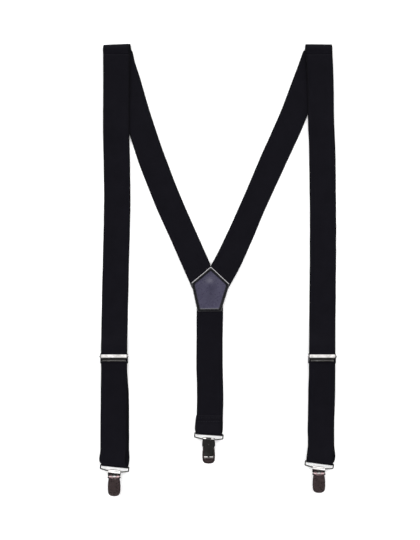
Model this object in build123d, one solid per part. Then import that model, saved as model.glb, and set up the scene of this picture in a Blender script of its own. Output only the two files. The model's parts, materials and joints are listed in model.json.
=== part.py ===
"""Clip-on suspenders with a Y back, laid flat and folded at the shoulders.

The back lies on its outer face: two straps run from the shoulders to a leather
patch, and a short strap runs on from the patch to the centre clip. At each
shoulder the strap folds over and comes forward on top, through a lever adjuster,
round a wire loop that carries a clip, and back up behind to the adjuster.

X is across the wearer, +Y runs from the clips to the shoulders, and +Z is up
from the surface that the suspenders lie on. The origin is the middle of the
outline, on that surface. All sizes are in millimetres.
"""
from build123d import *
from math import cos, hypot, radians, sin
import os

# ---- webbing ----
WEB_WIDTH = 35.5
WEB_THICK = 1.2
LAYER_GAP = 0.3
END_GAP = 0.1
RUNOUT = 8.0
BAND_HEIGHT = 12.0
FAR = 900.0

# ---- shoulder folds: middle of the fold line, and how far the line turns from level ----
FOLD_RADIUS = 2.6
FOLD_WIDTH = 36.5
FOLD_Y = 301.3
FOLD_X = {"left": -136.2, "right": 135.6}
FOLD_TILT = {"left": 2.4, "right": -0.6}
FOLD_START = 0.3
CROTCH_Y = {"left": 186.0, "right": 198.0}
OVER_BACK = WEB_THICK + 0.5
SETTLE_RUN = 55.0
CROTCH_RUN = 38.0

# ---- centre lines of the straps, from the shoulder down ----
BACK_LINE = {
    "left": [
        (-137.5, 312),
        (-124, 256),
        (-107, 202),
        (-88.7, 148.5),
        (-67.8, 94.6),
        (-44.1, 40.8),
        (-20, -14),
        (-8, -42),
    ],
    "right": [
        (137.8, 312),
        (119.5, 256),
        (98.6, 202),
        (74.6, 148.5),
        (50.7, 94.6),
        (27.1, 40.8),
        (0, -14),
        (-14.5, -42),
    ],
}
FRONT_LINE = {
    "left": [(-136, 312), (-136.9, 190), (-135.7, 94), (-137, 27), (-138.7, -45), (-139.6, -117)],
    "right": [(135, 312), (138.6, 190), (141.1, 94), (141.3, 27), (140.6, -45), (139.8, -117)],
}
LOWER_FRONT_LINE = {
    "left": [(-139.6, -115), (-139.9, -165), (-140.4, -215), (-140.2, -245), (-138.6, -270)],
    "right": [(139.8, -115), (139.6, -165), (138.5, -215), (137.3, -245), (136.0, -266)],
}
LOWER_BACK_LINE = {
    "left": [(-139.6, -115), (-137.9, -165), (-137.3, -215), (-137.5, -245), (-138.8, -270)],
    "right": [(139.8, -115), (139.2, -165), (138.9, -215), (138.0, -245), (136.6, -266)],
}
CENTRE_LINE = [(-10.9, -26), (-11.3, -80), (-11.2, -130), (-10.6, -175), (-12.2, -228)]

# ---- leather patch, point up, as laid ----
PATCH_OUTLINE = [(-9.7, 5), (-36.0, -17.2), (-27.6, -55.7), (4.3, -55.3), (15.6, -18.6)]
PATCH_SIDE_Y = -22.5
PATCH_X = -10.3
LEATHER = 1.3
MITRE_GAP = 0.05
BACK_LIFT_TOP = 32.0
BACK_LIFT_END = 10.0
BACK_FOOT_Y = -60.0
CENTRE_START_Y = -30.0
CENTRE_LIFT_TOP = -62.0
CENTRE_LIFT_END = -80.0
STITCH_INSET = 2.2
STITCH_LENGTH = 2.2
STITCH_PITCH = 3.2
STITCH_WIDTH = 0.5
STITCH_HEIGHT = 0.25
SEAM_HALF = 15.0

# ---- lever adjusters on the front straps: origin on the pivot's line ----
ADJUSTER_Y = -115.5
ADJUSTER_X = {"left": -139.6, "right": 139.8}
STEEL = 0.8
FRAME_HALF = 18.8
FRAME_TOP = 3.5
FRAME_BOTTOM = -9.5
FRAME_Z = 1.4
WINDOW_HALF = 17.9
WINDOW_TOP = -2.0
WINDOW_BOTTOM = -7.0
ANVIL_Y = (-1.2, 2.2)
ANVIL_TOP_Z = 3.7
EAR_REACH = 4.4
EAR_ROUND = 1.5
PIVOT_Z = 6.6
ADJUSTER_PIN = 0.7
PIN_HEAD = 1.1
PIN_HEAD_THICK = 0.9
PIN_HEAD_GAP = 0.05
PRESS_CLEARANCE = 0.02
PIVOT_CLEARANCE = 0.08
BAR_HALF = 17.3
FLANGE_HALF = 15.5
CROWN_OUTER = [(2.5, 7.3), (0.2, 8.4), (-2.3, 7.0)]
CROWN_INNER = [(-1.7, 6.3), (0.2, 7.5), (1.9, 6.9)]
FLANGE_SECTION = [(-1.7, 6.9), (-5.7, 6.4), (-6.4, 6.7), (-6.5, 6.0), (-5.8, 5.7), (-1.7, 6.2)]
BARREL_RADIUS = 1.15
TOOTH_COUNT = 11
TOOTH_WIDTH = 1.5
TOOTH_DROP = 0.2
TOOTH_HALF_DEPTH = 0.4
TOOTH_HEIGHT = 0.6
RUN_Z = 3.9
RUN_LEAD = 8.0
RUN_FALL = 50.0
TAIL_HALF = 17.5
TAIL_JOIN = -32.0
TAIL_END = -26.0
TAIL_LIFT = 0.1
TAIL_SLOPE = 5.5
RAIL_CLEARANCE = 0.2
RAIL_TURN = 1.4
RAIL_BEVEL = 0.6
TAIL_ROWS = (2.5, 8.0)
# underside of the front layer below the adjuster: distance below the pivot, height
LOWER_FALL = [(12.0, RUN_Z), (17.0, 3.3), (30.0, 3.1), (55.0, 1.9)]
LOWER_LEVEL = 1.9

# ---- wire loops: middle of the bar in the strap, and the loop's turn from level ----
WIRE = 0.9
BAR_Z = 2.9
TURN_BORE = 1.1
TURN_OUTER = TURN_BORE + WEB_THICK
TURN_HALF = 17.8
TURN_LEAD = 3.0
TURN_PAST = 9.0
TURN_RAMP_FRONT = 25.0
TURN_RAMP_BACK = 20.0
LOOP_HALF = 19.0
LOOP_SHOULDER = 5.9
LOOP_DROP = 7.6
LOOP_FLAT_HALF = 10.5
LOOP_CORNER = 1.3
LOOP_PLACE = {"left": (-138.7, -262.4), "right": (136.4, -258.0), "centre": (-12.1, -219.4)}
LOOP_TILT = {"left": -6.0, "right": -7.5, "centre": -4.0}
CENTRE_TAIL_LENGTH = 24.0
CENTRE_TAIL_RAMP = 12.0
CENTRE_TAIL_GAP = 0.3
CENTRE_ROWS = (16.0, 21.0)

# ---- clips: local origin on the loop's lower bar, -Y to the tip, +Z to the outer face ----
HANGER_BORE = 1.5
HANGER_OUTER = 2.3
ARM_WIDTH = 4.0
ARM_OFFSET = 5.5
ARM_REACH = 1.6
APRON_HALF = 8.2
APRON_SECTION = [(0, 2.3), (-1.9, 2.85), (-3.6, -0.9), (-2.88, -1.24), (-1.42, 1.92), (0, 1.5)]
REAR_Z = -2.3
EAR_X = 7.9
EAR_TOP = -2.6
EAR_BOTTOM = -9.4
CLIP_PIVOT_Y = -7.5
CLIP_PIVOT_Z = 0.6
CLIP_EAR_ROUND = 2.0
CLIP_PIN = 0.75
CLIP_PIN_PROUD = 0.3
CLIP_CLEARANCE = 0.07
REAR_OUTLINE = [(7.6, -0.7), (8.6, -2.6), (8.7, -8.9), (7.2, -10.2), (6.4, -11.4), (5.8, -13.0), (5.8, -23.4)]
RIB_WIDTH = 2.4
RIB_HEIGHT = 0.6
RIB_TOP = -7.0
ROLL_RADIUS = 1.2
ROLL_HALF = 6.0
ROLL_Y = -24.0
ROLL_Z = -1.7
PAD_THICK = 0.8
PAD_HALF = 5.6
PAD_TOP = -14.0
PAD_BOTTOM = -21.8
JAW_Z = 0.4
JAW_HALF = 6.4
JAW_END = -22.5
JAW_SHOULDER = -9.7
JAW_KNUCKLE_HALF = 2.5
JAW_KNUCKLE_RADIUS = 1.3
LEVER_OUTLINE = [
    (7.2, -7.5),
    (7.5, -9.8),
    (8.1, -14.0),
    (8.5, -20.0),
    (8.4, -25.5),
    (7.8, -29.2),
    (6.4, -31.4),
    (4.0, -32.7),
    (0, -33.2),
]
LEVER_Z = 1.5
LEVER_CROWN_RADIUS = 58.0
LEVER_CROWN = 0.6
KNUCKLE_RADIUS = 1.7
KNUCKLE_INNER = 2.8
KNUCKLE_OUTER = 7.2


def tube_x(inner, outer, length):
    """A hollow tube along X, centred on the origin."""
    return Rot(0, 90, 0) * (Cylinder(outer, length) - Cylinder(inner, length))


def rod_x(radius, length):
    """A solid rod along X, centred on the origin."""
    return Rot(0, 90, 0) * Cylinder(radius, length)


def block(x0, x1, y0, y1, z0, z1):
    """A box between two corners."""
    return Pos((x0 + x1) / 2, (y0 + y1) / 2, (z0 + z1) / 2) * Box(x1 - x0, y1 - y0, z1 - z0)


def side_section(points, half_width):
    """A solid with the given (y, z) outline, centred across X."""
    face = make_face(Plane.YZ * Polyline(*points, close=True))
    return extrude(face, half_width, both=True)


def strap_edges(line, width):
    """The points of a strap's two edges, square to the centre line at each of its points."""
    first, second = [], []
    for index, (x, y) in enumerate(line):
        x0, y0 = line[max(index - 1, 0)]
        x1, y1 = line[min(index + 1, len(line) - 1)]
        run = hypot(x1 - x0, y1 - y0)
        across_x = (y1 - y0) / run * width / 2
        across_y = -(x1 - x0) / run * width / 2
        first.append((x + across_x, y + across_y))
        second.append((x - across_x, y - across_y))
    return first, second


def strap(line, profile):
    """Webbing along a centre line, with the underside's height given by (y, z) points."""
    first, second = strap_edges(line, WEB_WIDTH)
    outline = [Spline(*first), Line(first[-1], second[-1]), Spline(*second), Line(second[0], first[0])]
    plan = extrude(make_face(outline), BAND_HEIGHT)
    over = [(y, z + WEB_THICK) for y, z in reversed(profile)]
    return plan & side_section(profile + over, FAR)


def half_plane(x, y, tilt, side):
    """A large block on one side of a tilted line: side is +1 above the line and -1 below it."""
    return Pos(x, y, 0) * Rot(0, 0, tilt) * Pos(0, side * FAR / 2, 0) * Box(FAR, FAR, FAR)


# ---- back: straps, folds and patch ----

def back_strap(side):
    """The strap from one shoulder to the patch, mitred against the other one."""
    profile = [(FOLD_Y + RUNOUT, 0), (BACK_LIFT_TOP, 0), (BACK_LIFT_END, LEATHER), (BACK_FOOT_Y, LEATHER)]
    solid = strap(BACK_LINE[side], profile)
    solid = solid & half_plane(FOLD_X[side], FOLD_Y, FOLD_TILT[side], -1)
    solid = solid & half_plane(PATCH_X, CENTRE_START_Y + LAYER_GAP, 0, 1)
    mitre = block(-FAR, PATCH_X - MITRE_GAP, -FAR, FAR, -FAR, FAR)
    if side == "right":
        mitre = block(PATCH_X + MITRE_GAP, FAR, -FAR, FAR, -FAR, FAR)
    above_patch = block(-FAR, FAR, PATCH_SIDE_Y, FAR, -FAR, FAR)
    return solid & mitre & (above_patch + patch_leather(LEATHER))


def shoulder_fold(side):
    """The half turn of webbing that joins the back strap to the front strap."""
    turn = tube_x(FOLD_RADIUS - WEB_THICK, FOLD_RADIUS, FOLD_WIDTH)
    turn = turn & block(-FAR, FAR, 0, FAR, -FAR, FAR)
    return Pos(FOLD_X[side], FOLD_Y, FOLD_RADIUS) * Rot(0, 0, FOLD_TILT[side]) * turn


def turn_sides(place):
    """The room beside the half turn that a wire loop's corners swing through."""
    right = block(TURN_HALF, FAR, -FAR, TURN_LEAD, -FAR, FAR)
    left = block(-FAR, -TURN_HALF, -FAR, TURN_LEAD, -FAR, FAR)
    return Pos(*LOOP_PLACE[place], 0) * Rot(0, 0, LOOP_TILT[place]) * (left + right)


def above_bar(solid, place):
    """The part of a strap above a loop's bar, narrowed beside the bar to its half turn's width."""
    return (solid & half_plane(*LOOP_PLACE[place], LOOP_TILT[place], 1)) - turn_sides(place)


def centre_strap():
    """The strap from the patch to the centre clip, turned round the loop's bar and sewn back on itself."""
    bar_y = LOOP_PLACE["centre"][1]
    main_profile = [
        (0, LEATHER),
        (CENTRE_LIFT_TOP, LEATHER),
        (CENTRE_LIFT_END, 0),
        (bar_y + TURN_RAMP_BACK, 0),
        (bar_y + TURN_LEAD, BAR_Z - TURN_OUTER),
        (bar_y - TURN_PAST, BAR_Z - TURN_OUTER),
    ]
    tail_top = BAR_Z + TURN_BORE
    tail_profile = [
        (bar_y + CENTRE_TAIL_LENGTH, WEB_THICK + TAIL_LIFT),
        (bar_y + CENTRE_TAIL_RAMP, WEB_THICK + CENTRE_TAIL_GAP),
        (bar_y + TURN_LEAD, tail_top),
        (bar_y - TURN_PAST, tail_top),
    ]
    below_patch = block(-FAR, FAR, -FAR, CENTRE_START_Y, -FAR, FAR)
    layers = strap(CENTRE_LINE, main_profile) + strap(CENTRE_LINE, tail_profile)
    return (above_bar(layers, "centre") & below_patch) + strap_turn("centre")


def strap_turn(place):
    """The half turn of webbing round a wire loop's bar."""
    turn = tube_x(TURN_BORE, TURN_OUTER, 2 * TURN_HALF)
    turn = turn & block(-FAR, FAR, -FAR, 0, -FAR, FAR)
    return Pos(*LOOP_PLACE[place], BAR_Z) * Rot(0, 0, LOOP_TILT[place]) * turn


def patch_leather(bottom_z):
    """One of the patch's two leather faces."""
    return Pos(0, 0, bottom_z) * extrude(make_face(Polyline(*PATCH_OUTLINE, close=True)), LEATHER)


def stitch_row(start, end, z):
    """Separate stitches lying on a surface, from one point to another."""
    run = Vector(*end) - Vector(*start)
    count = int(run.length // STITCH_PITCH)
    turn = Vector(1, 0, 0).get_signed_angle(Vector(run.X, run.Y, 0), Vector(0, 0, 1))
    row = []
    for index in range(count):
        middle = Vector(*start) + run * ((index + 0.5) / count)
        stitch = Box(STITCH_LENGTH, STITCH_WIDTH, STITCH_HEIGHT)
        row.append(Pos(middle.X, middle.Y, z + STITCH_HEIGHT / 2) * Rot(0, 0, turn) * stitch)
    return row


def patch_stitching():
    """The seam round the patch's upper face, set in from its edge."""
    outline = make_face(Polyline(*PATCH_OUTLINE, close=True))
    seam = offset(outline, -STITCH_INSET)
    stitches = []
    for edge in seam.edges():
        stitches += stitch_row(tuple(edge @ 0)[:2], tuple(edge @ 1)[:2], 2 * LEATHER + WEB_THICK)
    return Compound(children=stitches)


def centre_stitching():
    """Two rows of stitches across the turned-back end of the centre strap."""
    x, bar_y = LOOP_PLACE["centre"]
    stitches = []
    for row in CENTRE_ROWS:
        start, end = (x - SEAM_HALF, bar_y + row), (x + SEAM_HALF, bar_y + row)
        stitches += stitch_row(start, end, 2 * WEB_THICK + CENTRE_TAIL_GAP)
    return Compound(children=stitches)


# ---- front straps ----

def front_strap(side):
    """The strap from the shoulder fold down to the adjuster, lying over the back strap at its top."""
    crotch = CROTCH_Y[side]
    fold_height = 2 * FOLD_RADIUS - WEB_THICK
    profile = [
        (FOLD_Y + RUNOUT, fold_height),
        (FOLD_Y, fold_height),
        (FOLD_Y - SETTLE_RUN, OVER_BACK),
        (crotch, OVER_BACK),
        (crotch - CROTCH_RUN, 0),
        (ADJUSTER_Y + RUN_FALL, 0),
        (ADJUSTER_Y + RUN_LEAD, RUN_Z),
        (ADJUSTER_Y + END_GAP, RUN_Z),
    ]
    solid = strap(FRONT_LINE[side], profile)
    return solid & half_plane(FOLD_X[side], FOLD_Y - FOLD_START, FOLD_TILT[side], -1)


def lower_strap_front(side):
    """The front layer below the adjuster, down to the loop's bar."""
    bar_y = LOOP_PLACE[side][1]
    profile = [(ADJUSTER_Y - END_GAP, RUN_Z)]
    profile += [(ADJUSTER_Y - below, height) for below, height in LOWER_FALL]
    profile += [
        (bar_y + TURN_RAMP_FRONT, LOWER_LEVEL),
        (bar_y + TURN_LEAD, BAR_Z + TURN_BORE),
        (bar_y - TURN_PAST, BAR_Z + TURN_BORE),
    ]
    return above_bar(strap(LOWER_FRONT_LINE[side], profile), side)


def lower_strap_back(side):
    """The back layer, from the loop's bar up to the end that is sewn round the adjuster."""
    bar_y = LOOP_PLACE[side][1]
    profile = [
        (ADJUSTER_Y + TAIL_JOIN, 0),
        (bar_y + TURN_RAMP_BACK, 0),
        (bar_y + TURN_LEAD, BAR_Z - TURN_OUTER),
        (bar_y - TURN_PAST, BAR_Z - TURN_OUTER),
    ]
    return above_bar(strap(LOWER_BACK_LINE[side], profile), side)


# ---- lever adjuster, in its own frame ----

def strap_end():
    """The strap's end, passed round the adjuster's lower rail and turned down again."""
    over = FRAME_Z + STEEL + RAIL_CLEARANCE
    tail = WEB_THICK + TAIL_LIFT
    rail_top = WINDOW_BOTTOM + RAIL_CLEARANCE
    slope_end = FRAME_BOTTOM - TAIL_SLOPE
    points = [
        (TAIL_JOIN, 0),
        (rail_top + RAIL_BEVEL, 0),
        (rail_top + RAIL_TURN, RAIL_BEVEL),
        (rail_top + RAIL_TURN, over + WEB_THICK - RAIL_BEVEL),
        (rail_top + RAIL_BEVEL, over + WEB_THICK),
        (FRAME_BOTTOM - TOOTH_HALF_DEPTH, over + WEB_THICK),
        (slope_end, tail + WEB_THICK),
        (TAIL_END, tail + WEB_THICK),
        (TAIL_END, tail),
        (slope_end, tail),
        (FRAME_BOTTOM - RAIL_TURN, over),
        (rail_top, over),
        (rail_top, WEB_THICK),
        (TAIL_JOIN, WEB_THICK),
    ]
    return side_section(points, TAIL_HALF)


def strap_end_stitching():
    """Two rows of stitches that hold the turned-down end."""
    stitches = []
    for row in TAIL_ROWS:
        start, end = (-SEAM_HALF, TAIL_END + row), (SEAM_HALF, TAIL_END + row)
        stitches += stitch_row(start, end, 2 * WEB_THICK + TAIL_LIFT)
    return Compound(children=stitches)


def adjuster_frame():
    """The steel frame: a plate with a window, an anvil under the strap and two ears for the pin."""
    frame = block(-FRAME_HALF, FRAME_HALF, FRAME_BOTTOM, FRAME_TOP, FRAME_Z, FRAME_Z + STEEL)
    frame -= block(-WINDOW_HALF, WINDOW_HALF, WINDOW_BOTTOM, WINDOW_TOP, 0, BAND_HEIGHT)
    frame += block(-WINDOW_HALF, WINDOW_HALF, *ANVIL_Y, FRAME_Z + STEEL / 2, ANVIL_TOP_Z)
    for side in (-1, 1):
        x = side * (FRAME_HALF - STEEL / 2)
        ear = Pos(x, 0, (FRAME_Z + PIVOT_Z) / 2) * Box(STEEL, EAR_REACH, PIVOT_Z - FRAME_Z)
        ear += Pos(x, 0, PIVOT_Z) * rod_x(EAR_ROUND, STEEL)
        frame += ear - Pos(x, 0, PIVOT_Z) * rod_x(ADJUSTER_PIN + PRESS_CLEARANCE, 2 * STEEL)
    return frame


def adjuster_pin():
    """The pin through both ears and the lever, headed at each end."""
    pin = rod_x(ADJUSTER_PIN, 2 * (FRAME_HALF + PIN_HEAD_GAP))
    for side in (-1, 1):
        head = rod_x(PIN_HEAD, PIN_HEAD_THICK)
        pin += Pos(side * (FRAME_HALF + PIN_HEAD_GAP + PIN_HEAD_THICK / 2), 0, 0) * head
    return Pos(0, 0, PIVOT_Z) * pin


def adjuster_lever():
    """The convex lever over the strap, with a toothed barrel on the pin and a flange to lift it by."""
    crown = [
        ThreePointArc(*CROWN_OUTER),
        Line(CROWN_OUTER[-1], CROWN_INNER[0]),
        ThreePointArc(*CROWN_INNER),
        Line(CROWN_INNER[-1], CROWN_OUTER[0]),
    ]
    bar = extrude(Plane.YZ * make_face(crown), BAR_HALF, both=True)
    flange = side_section(FLANGE_SECTION, FLANGE_HALF)
    barrel = Pos(0, 0, PIVOT_Z) * rod_x(BARREL_RADIUS, 2 * BAR_HALF)
    lever = bar + flange + barrel
    pitch = 2 * (BAR_HALF - TOOTH_WIDTH) / (TOOTH_COUNT - 1)
    for index in range(TOOTH_COUNT):
        x = index * pitch - (BAR_HALF - TOOTH_WIDTH)
        bottom = PIVOT_Z - BARREL_RADIUS - TOOTH_DROP
        tooth = Box(TOOTH_WIDTH, 2 * TOOTH_HALF_DEPTH, TOOTH_HEIGHT)
        lever += Pos(x, 0, bottom + TOOTH_HEIGHT / 2) * tooth
    return lever - Pos(0, 0, PIVOT_Z) * rod_x(ADJUSTER_PIN + PIVOT_CLEARANCE, 3 * BAR_HALF)


# ---- wire loop, in its own frame ----

def wire_loop():
    """A closed loop of round wire: a straight bar for the strap and a dropped bar for the clip."""
    corners = [
        (-LOOP_HALF, 0),
        (LOOP_HALF, 0),
        (LOOP_HALF, -LOOP_SHOULDER),
        (LOOP_FLAT_HALF, -LOOP_DROP),
        (-LOOP_FLAT_HALF, -LOOP_DROP),
        (-LOOP_HALF, -LOOP_SHOULDER),
    ]
    path = FilletPolyline(*corners, radius=LOOP_CORNER, close=True)
    section = Plane(path @ 0, z_dir=path % 0) * Circle(WIRE)
    return sweep(section, path)


# ---- clip, in its own frame ----

def mirrored(points):
    """An outline closed by its own mirror image across X."""
    return points + [(-x, y) for x, y in reversed(points) if x > 0]


def hanger(tilt):
    """The wrap round the loop's bar: two arms behind, a curl over the top and an apron in front."""
    tube = tube_x(HANGER_BORE, HANGER_OUTER, 2 * APRON_HALF)
    wrap = tube & block(-FAR, FAR, 0, FAR, 0, FAR)
    wrap += side_section(APRON_SECTION, APRON_HALF)
    for side in (-1, 1):
        arm = tube & block(-ARM_WIDTH / 2, ARM_WIDTH / 2, 0, FAR, -FAR, 0)
        arm += block(-ARM_WIDTH / 2, ARM_WIDTH / 2, -ARM_REACH, 0, REAR_Z, REAR_Z + STEEL)
        wrap += Pos(side * ARM_OFFSET, 0, 0) * arm
    return Rot(0, 0, tilt) * wrap


def clip_body(tilt):
    """The rear jaw: a pressed plate with its hanger, two ears, a stiffening rib and a rolled end."""
    plate = extrude(make_face(Polyline(*mirrored(REAR_OUTLINE), close=True)), STEEL)
    body = Pos(0, 0, REAR_Z) * plate
    body += hanger(tilt)
    body += block(-RIB_WIDTH / 2, RIB_WIDTH / 2, ROLL_Y, RIB_TOP, REAR_Z - RIB_HEIGHT, REAR_Z + STEEL / 2)
    body += Pos(0, ROLL_Y, ROLL_Z) * rod_x(ROLL_RADIUS, 2 * ROLL_HALF)
    for side in (-1, 1):
        x = side * (EAR_X + STEEL / 2)
        body += block(x - STEEL / 2, x + STEEL / 2, EAR_BOTTOM, EAR_TOP, REAR_Z, CLIP_PIVOT_Z)
        body += Pos(x, CLIP_PIVOT_Y, CLIP_PIVOT_Z) * rod_x(CLIP_EAR_ROUND, STEEL)
    return body - clip_pivot(CLIP_PIN + PRESS_CLEARANCE, 4 * EAR_X)


def clip_pivot(radius, length):
    """A rod on the clip's pivot."""
    return Pos(0, CLIP_PIVOT_Y, CLIP_PIVOT_Z) * rod_x(radius, length)


def pivot_pin():
    """The pin through the ears, the lever's knuckles and the front jaw's knuckle."""
    return clip_pivot(CLIP_PIN, 2 * (EAR_X + STEEL + CLIP_PIN_PROUD))


def rear_jaw_pad():
    """The grip pad on the rear jaw."""
    bottom = REAR_Z + STEEL
    return block(-PAD_HALF, PAD_HALF, PAD_BOTTOM, PAD_TOP, bottom, bottom + PAD_THICK)


def front_jaw_pad():
    """The grip pad on the front jaw."""
    return block(-PAD_HALF, PAD_HALF, PAD_BOTTOM, PAD_TOP, JAW_Z - PAD_THICK, JAW_Z)


def front_jaw():
    """The hinged jaw under the lever, with a knuckle in the middle of the pin."""
    jaw = block(-JAW_HALF, JAW_HALF, JAW_END, JAW_SHOULDER, JAW_Z, JAW_Z + STEEL)
    jaw += block(-JAW_KNUCKLE_HALF, JAW_KNUCKLE_HALF, JAW_SHOULDER, CLIP_PIVOT_Y, JAW_Z, JAW_Z + STEEL)
    jaw += clip_pivot(JAW_KNUCKLE_RADIUS, 2 * JAW_KNUCKLE_HALF)
    return jaw - clip_pivot(CLIP_PIN + CLIP_CLEARANCE, 4 * EAR_X)


def clip_lever():
    """The crowned lever that covers the clip, with a knuckle near each ear."""
    edge = mirrored(LEVER_OUTLINE)
    plan = extrude(make_face([Spline(*edge), Line(edge[-1], edge[0])]), BAND_HEIGHT)
    centre_z = LEVER_Z + LEVER_CROWN - LEVER_CROWN_RADIUS
    shell = Cylinder(LEVER_CROWN_RADIUS + STEEL, FAR) - Cylinder(LEVER_CROWN_RADIUS, FAR)
    lever = plan & (Pos(0, 0, centre_z) * Rot(90, 0, 0) * shell)
    for side in (-1, 1):
        x = side * (KNUCKLE_INNER + KNUCKLE_OUTER) / 2
        knuckle = clip_pivot(KNUCKLE_RADIUS, KNUCKLE_OUTER - KNUCKLE_INNER)
        lever += Pos(x, 0, 0) * knuckle
    return lever - clip_pivot(CLIP_PIN + CLIP_CLEARANCE, 4 * EAR_X)


# ---- places ----

def loop_place(place):
    """Where a wire loop's own frame lies."""
    return Pos(*LOOP_PLACE[place], BAR_Z) * Rot(0, 0, LOOP_TILT[place])


def clip_place(place):
    """Where a clip's own frame lies: the centre clip lies on its outer face."""
    bar = loop_place(place) * Pos(0, -LOOP_DROP, 0)
    turn = 180 if place == "centre" else 0
    return Pos(bar.position) * Rot(0, turn, 0)


def build():
    """Every node's solid, by name."""
    nodes = {
        "back_strap_left": back_strap("left"),
        "back_strap_right": back_strap("right"),
        "back_strap_centre": centre_strap(),
        "centre_strap_stitching": centre_stitching(),
        "patch_outer_leather": patch_leather(0),
        "patch_inner_leather": patch_leather(LEATHER + WEB_THICK),
        "patch_stitching": patch_stitching(),
    }
    for side in ("left", "right"):
        place = Pos(ADJUSTER_X[side], ADJUSTER_Y, 0)
        nodes["shoulder_fold_" + side] = shoulder_fold(side)
        nodes["front_strap_" + side] = front_strap(side)
        nodes["lower_strap_front_" + side] = lower_strap_front(side)
        nodes["lower_strap_back_" + side] = lower_strap_back(side)
        nodes["strap_turn_" + side] = strap_turn(side)
        nodes["strap_end_" + side] = place * strap_end()
        nodes["strap_end_stitching_" + side] = place * strap_end_stitching()
        nodes["adjuster_frame_" + side] = place * adjuster_frame()
        nodes["adjuster_lever_" + side] = place * adjuster_lever()
        nodes["adjuster_pin_" + side] = place * adjuster_pin()
    for side in ("left", "right", "centre"):
        place = clip_place(side)
        tilt = -LOOP_TILT[side] if side == "centre" else LOOP_TILT[side]
        nodes["wire_loop_" + side] = loop_place(side) * wire_loop()
        nodes["clip_body_" + side] = place * clip_body(tilt)
        nodes["pivot_pin_" + side] = place * pivot_pin()
        nodes["clip_lever_" + side] = place * clip_lever()
        nodes["front_jaw_" + side] = place * front_jaw()
        nodes["front_jaw_pad_" + side] = place * front_jaw_pad()
        nodes["rear_jaw_pad_" + side] = place * rear_jaw_pad()
    return nodes


os.makedirs("parts", exist_ok=True)
NODES = build()
for node_name, node_solid in NODES.items():
    export_step(node_solid, "parts/" + node_name + ".step")
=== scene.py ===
import json
from math import atan2, ceil, cos, degrees, exp, pi, radians, sin

import bmesh
import bpy
from mathutils import Matrix, Vector, noise

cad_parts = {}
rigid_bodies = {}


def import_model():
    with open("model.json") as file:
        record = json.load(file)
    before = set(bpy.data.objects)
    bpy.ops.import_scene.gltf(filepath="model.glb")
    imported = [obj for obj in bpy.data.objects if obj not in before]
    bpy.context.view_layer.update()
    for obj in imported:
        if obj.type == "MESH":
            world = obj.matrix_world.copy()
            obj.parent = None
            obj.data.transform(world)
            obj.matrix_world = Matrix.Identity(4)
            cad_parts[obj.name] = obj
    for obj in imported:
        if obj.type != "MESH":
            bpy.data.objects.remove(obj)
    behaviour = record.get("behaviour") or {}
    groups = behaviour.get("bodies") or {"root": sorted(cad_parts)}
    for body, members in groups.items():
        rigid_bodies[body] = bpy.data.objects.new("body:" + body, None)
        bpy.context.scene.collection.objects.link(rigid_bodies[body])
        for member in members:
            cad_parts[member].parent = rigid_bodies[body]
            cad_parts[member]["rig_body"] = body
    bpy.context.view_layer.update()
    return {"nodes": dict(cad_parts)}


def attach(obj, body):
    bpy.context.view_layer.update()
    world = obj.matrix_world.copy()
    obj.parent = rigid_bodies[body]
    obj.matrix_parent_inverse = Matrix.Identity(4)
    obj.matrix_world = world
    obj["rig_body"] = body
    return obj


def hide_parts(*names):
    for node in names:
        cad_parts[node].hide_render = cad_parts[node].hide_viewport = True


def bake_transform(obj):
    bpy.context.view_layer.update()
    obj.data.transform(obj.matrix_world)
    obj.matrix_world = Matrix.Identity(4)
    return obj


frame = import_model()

MM = 0.001
NODES = frame["nodes"]

SIDES = (("left", -1), ("right", 1))

# the webbing, as in the CAD model, and the step between its rows of points
WEB_WIDTH = 35.5
WEB_THICK = 1.2
HALF = WEB_THICK / 2
ROW_STEP = 1.6


def add_object(name, data):
    """A new object in the scene."""
    thing = bpy.data.objects.new(name, data)
    bpy.context.scene.collection.objects.link(thing)
    return thing


# ================================================================ camera and light

# the height of the photograph's frame and the point in its middle, in millimetres on the floor
PHOTO_HEIGHT = 727.0
PHOTO_MIDDLE = (-10.8, 0.4)
LENS = 85.0
SENSOR = 36.0
CLIP_END = 50.0

# how bright the room is in a direction, and the directions between which that changes: Y for the head and
# the foot of the layout, X squared for the sides
HEAD_GLOW, HEAD_SPAN = 2.1, (0.14, 0.42)
FOOT_GLOW, FOOT_SPAN = 0.12, (-0.92, -0.62)
SIDE_GLOW, SIDE_SPAN = 0.3, (0.25, 0.75)
DIM_GLOW = 0.034

# a soft box at each side, in metres and watts
SOFTBOX_X, SOFTBOX_Y, SOFTBOX_Z = 1.9, -0.2, 1.15
SOFTBOX_SIZE = (1.0, 2.2)
SOFTBOX_POWER = {"left": 40, "right": 36}

FLOOR_HALF = 30.0
FLOOR_DROP = 0.0002


def make_camera():
    """A camera straight above the suspenders, as in a product photograph."""
    data = bpy.data.cameras.new("camera")
    data.lens = LENS
    data.sensor_width = SENSOR
    data.clip_end = CLIP_END
    camera = add_object("camera", data)
    height = PHOTO_HEIGHT * LENS / SENSOR
    camera.location = Vector((*PHOTO_MIDDLE, height)) * MM
    bpy.context.scene.camera = camera


def soft_box(side, sign):
    """A wide soft light at one side, aimed at the middle of the floor and left out of reflections."""
    data = bpy.data.lights.new(side + "_softbox", "AREA")
    data.shape = "RECTANGLE"
    data.size, data.size_y = SOFTBOX_SIZE
    data.energy = SOFTBOX_POWER[side]
    light = add_object(side + "_softbox", data)
    place = Vector((sign * SOFTBOX_X, SOFTBOX_Y, SOFTBOX_Z))
    light.location = place
    light.rotation_euler = (-place).to_track_quat("-Z", "Y").to_euler()
    light.visible_glossy = False


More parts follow.
